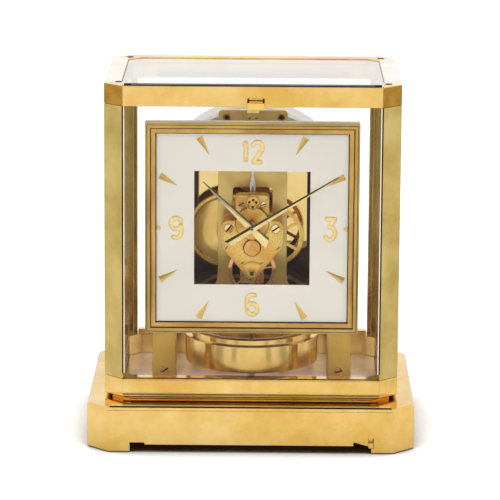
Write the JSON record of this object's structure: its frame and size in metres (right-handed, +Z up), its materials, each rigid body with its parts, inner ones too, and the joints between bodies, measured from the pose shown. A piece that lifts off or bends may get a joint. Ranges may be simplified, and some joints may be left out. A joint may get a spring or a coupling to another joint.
{
  "type": "atmospheric clock",
  "caption": "Atmospheric clock: a glazed brass cage on a plinth, a square open-centre dial, a geared movement, a bellows drum and a torsion pendulum.",
  "frame": {"origin": "on the surface that the clock stands on, under the middle of the plinth", "axes": "+Z up, the dial faces -Y, +X to the right of a viewer who faces the dial"},
  "size_m": [0.21, 0.165, 0.2338],
  "materials": {
    "polished_brass": "polished, gold-lacquered",
    "brushed_brass": "finely brushed upright",
    "copper": "polished, copper-coloured gilding",
    "steel": "fine satin",
    "silvered_metal": "smooth silvered",
    "dial_enamel": "satin off-white",
    "clear_glass": "polished clear"
  },
  "bodies": {
    "case": {"base_plinth": "polished_brass", "floor_plate": "silvered_metal", "foot_rear": "polished_brass", "lower_frame": "polished_brass", "post_front_left": "polished_brass", "post_front_right": "polished_brass", "post_rear_left": "polished_brass", "post_rear_right": "polished_brass", "top_frame": "polished_brass", "top_glass": "clear_glass", "glass_left": "clear_glass", "glass_right": "clear_glass", "glass_rear": "clear_glass", "front_plate": "brushed_brass", "leg_bracket_left": "polished_brass", "leg_bracket_right": "polished_brass", "leg_screw_left": "polished_brass", "leg_screw_right": "polished_brass", "back_plate": "polished_brass", "drum_cradle": "polished_brass", "drum_housing": "silvered_metal", "drum_cover": "silvered_metal", "bellows": "silvered_metal", "bellows_spring": "steel", "winding_chain": "steel", "module_plate": "brushed_brass", "movement_cock": "brushed_brass", "tip_cock": "brushed_brass", "cock_screw_left": "polished_brass", "cock_screw_right": "polished_brass", "balance_bridge": "polished_brass", "suspension_block": "brushed_brass", "suspension_tube": "steel", "dial_bezel": "polished_brass", "dial_plate": "dial_enamel", "dial_pillar_left": "polished_brass", "dial_pillar_right": "polished_brass"},
    "front_panel": {"front_panel_rail": "polished_brass", "front_panel_glass": "clear_glass", "front_panel_handle": "polished_brass"},
    "left_foot": {"foot_front_left": "polished_brass"},
    "right_foot": {"foot_front_right": "polished_brass"},
    "lock_lever": {"lock_lever": "polished_brass"},
    "lock_plunger": {"lock_plunger": "steel"},
    "pendulum": {"pendulum_ring": "polished_brass", "pendulum_staff": "polished_brass", "suspension_wire": "steel"},
    "barrel": {"barrel": "polished_brass"},
    "barrel_arbor": {"barrel_arbor": "steel"},
    "second_wheel": {"second_wheel": "polished_brass"},
    "third_wheel": {"third_wheel": "polished_brass"},
    "minute": {"minute_arbor": "polished_brass", "minute_hand": "polished_brass"},
    "hour": {"hour_wheel": "copper", "hour_hand": "polished_brass"},
    "motion_wheel": {"motion_wheel": "copper"},
    "idler_wheel": {"idler_wheel": "polished_brass"},
    "escape_wheel": {"escape_wheel": "copper"},
    "pallet_fork": {"pallet_fork": "steel"}
  },
  "joints": [
    {"name": "front_panel_lift", "type": "slide", "parent": "case", "child": "front_panel", "axis": [0, 0, 1], "range_m": [0, 0.19]},
    {"name": "left_foot_turn", "type": "hinge", "parent": "case", "child": "left_foot", "pos_m": [-0.089, -0.0635, 0.002], "axis": [0, 0, 1], "continuous": true},
    {"name": "right_foot_turn", "type": "hinge", "parent": "case", "child": "right_foot", "pos_m": [0.089, -0.0635, 0.002], "axis": [0, 0, 1], "continuous": true},
    {"name": "lock_lever_swing", "type": "hinge", "parent": "case", "child": "lock_lever", "pos_m": [0.077, -0.04, 0.009], "axis": [0, 0, -1], "range_deg": [0, 7]},
    {"name": "lock_plunger_lift", "type": "slide", "parent": "case", "child": "lock_plunger", "axis": [0, 0, 1], "range_m": [0, 0.0015]},
    {"name": "pendulum_swing", "type": "hinge", "parent": "case", "child": "pendulum", "pos_m": [0, -0.01, 0.056], "axis": [0, 0, 1], "range_deg": [-270, 270], "stiffness_Nm_per_rad": 0.0000067},
    {"name": "minute_turn", "type": "hinge", "parent": "case", "child": "minute", "pos_m": [0, 0, 0.1402], "axis": [0, 1, 0], "continuous": true},
    {"name": "hour_turn", "type": "hinge", "parent": "case", "child": "hour", "pos_m": [0, 0, 0.1402], "axis": [0, 1, 0], "continuous": true},
    {"name": "motion_wheel_turn", "type": "hinge", "parent": "case", "child": "motion_wheel", "pos_m": [0, 0, 0.12403], "axis": [0, 1, 0], "continuous": true},
    {"name": "idler_wheel_turn", "type": "hinge", "parent": "case", "child": "idler_wheel", "pos_m": [0, 0, 0.12403], "axis": [0, 1, 0], "continuous": true},
    {"name": "escape_wheel_turn", "type": "hinge", "parent": "case", "child": "escape_wheel", "pos_m": [0, 0, 0.10712], "axis": [0, 1, 0], "continuous": true},
    {"name": "third_wheel_turn", "type": "hinge", "parent": "case", "child": "third_wheel", "pos_m": [-0.00754, 0, 0.13319], "axis": [0, 1, 0], "continuous": true},
    {"name": "second_wheel_turn", "type": "hinge", "parent": "case", "child": "second_wheel", "pos_m": [0.01388, 0, 0.12473], "axis": [0, 1, 0], "continuous": true},
    {"name": "barrel_turn", "type": "hinge", "parent": "case", "child": "barrel", "pos_m": [-0.0178, 0, 0.128], "axis": [0, 1, 0], "continuous": true},
    {"name": "barrel_arbor_turn", "type": "hinge", "parent": "case", "child": "barrel_arbor", "pos_m": [-0.0178, 0, 0.128], "axis": [0, 1, 0], "continuous": true},
    {"name": "pallet_fork_swing", "type": "hinge", "parent": "case", "child": "pallet_fork", "pos_m": [0, 0, 0.11663], "axis": [0, 1, 0], "range_deg": [-5, 5]}
  ],
  "couplings": [
    {"joint": "hour_turn", "follows": "minute_turn", "ratio": 0.083333},
    {"joint": "motion_wheel_turn", "follows": "minute_turn", "ratio": -0.16667},
    {"joint": "idler_wheel_turn", "follows": "minute_turn", "ratio": -2},
    {"joint": "escape_wheel_turn", "follows": "minute_turn", "ratio": 4},
    {"joint": "third_wheel_turn", "follows": "minute_turn", "ratio": -0.90909},
    {"joint": "second_wheel_turn", "follows": "minute_turn", "ratio": 0.13304},
    {"joint": "barrel_turn", "follows": "minute_turn", "ratio": -0.039911},
    {"joint": "lock_plunger_lift", "follows": "lock_lever_swing", "m_per_rad": 0.01227}
  ]
}
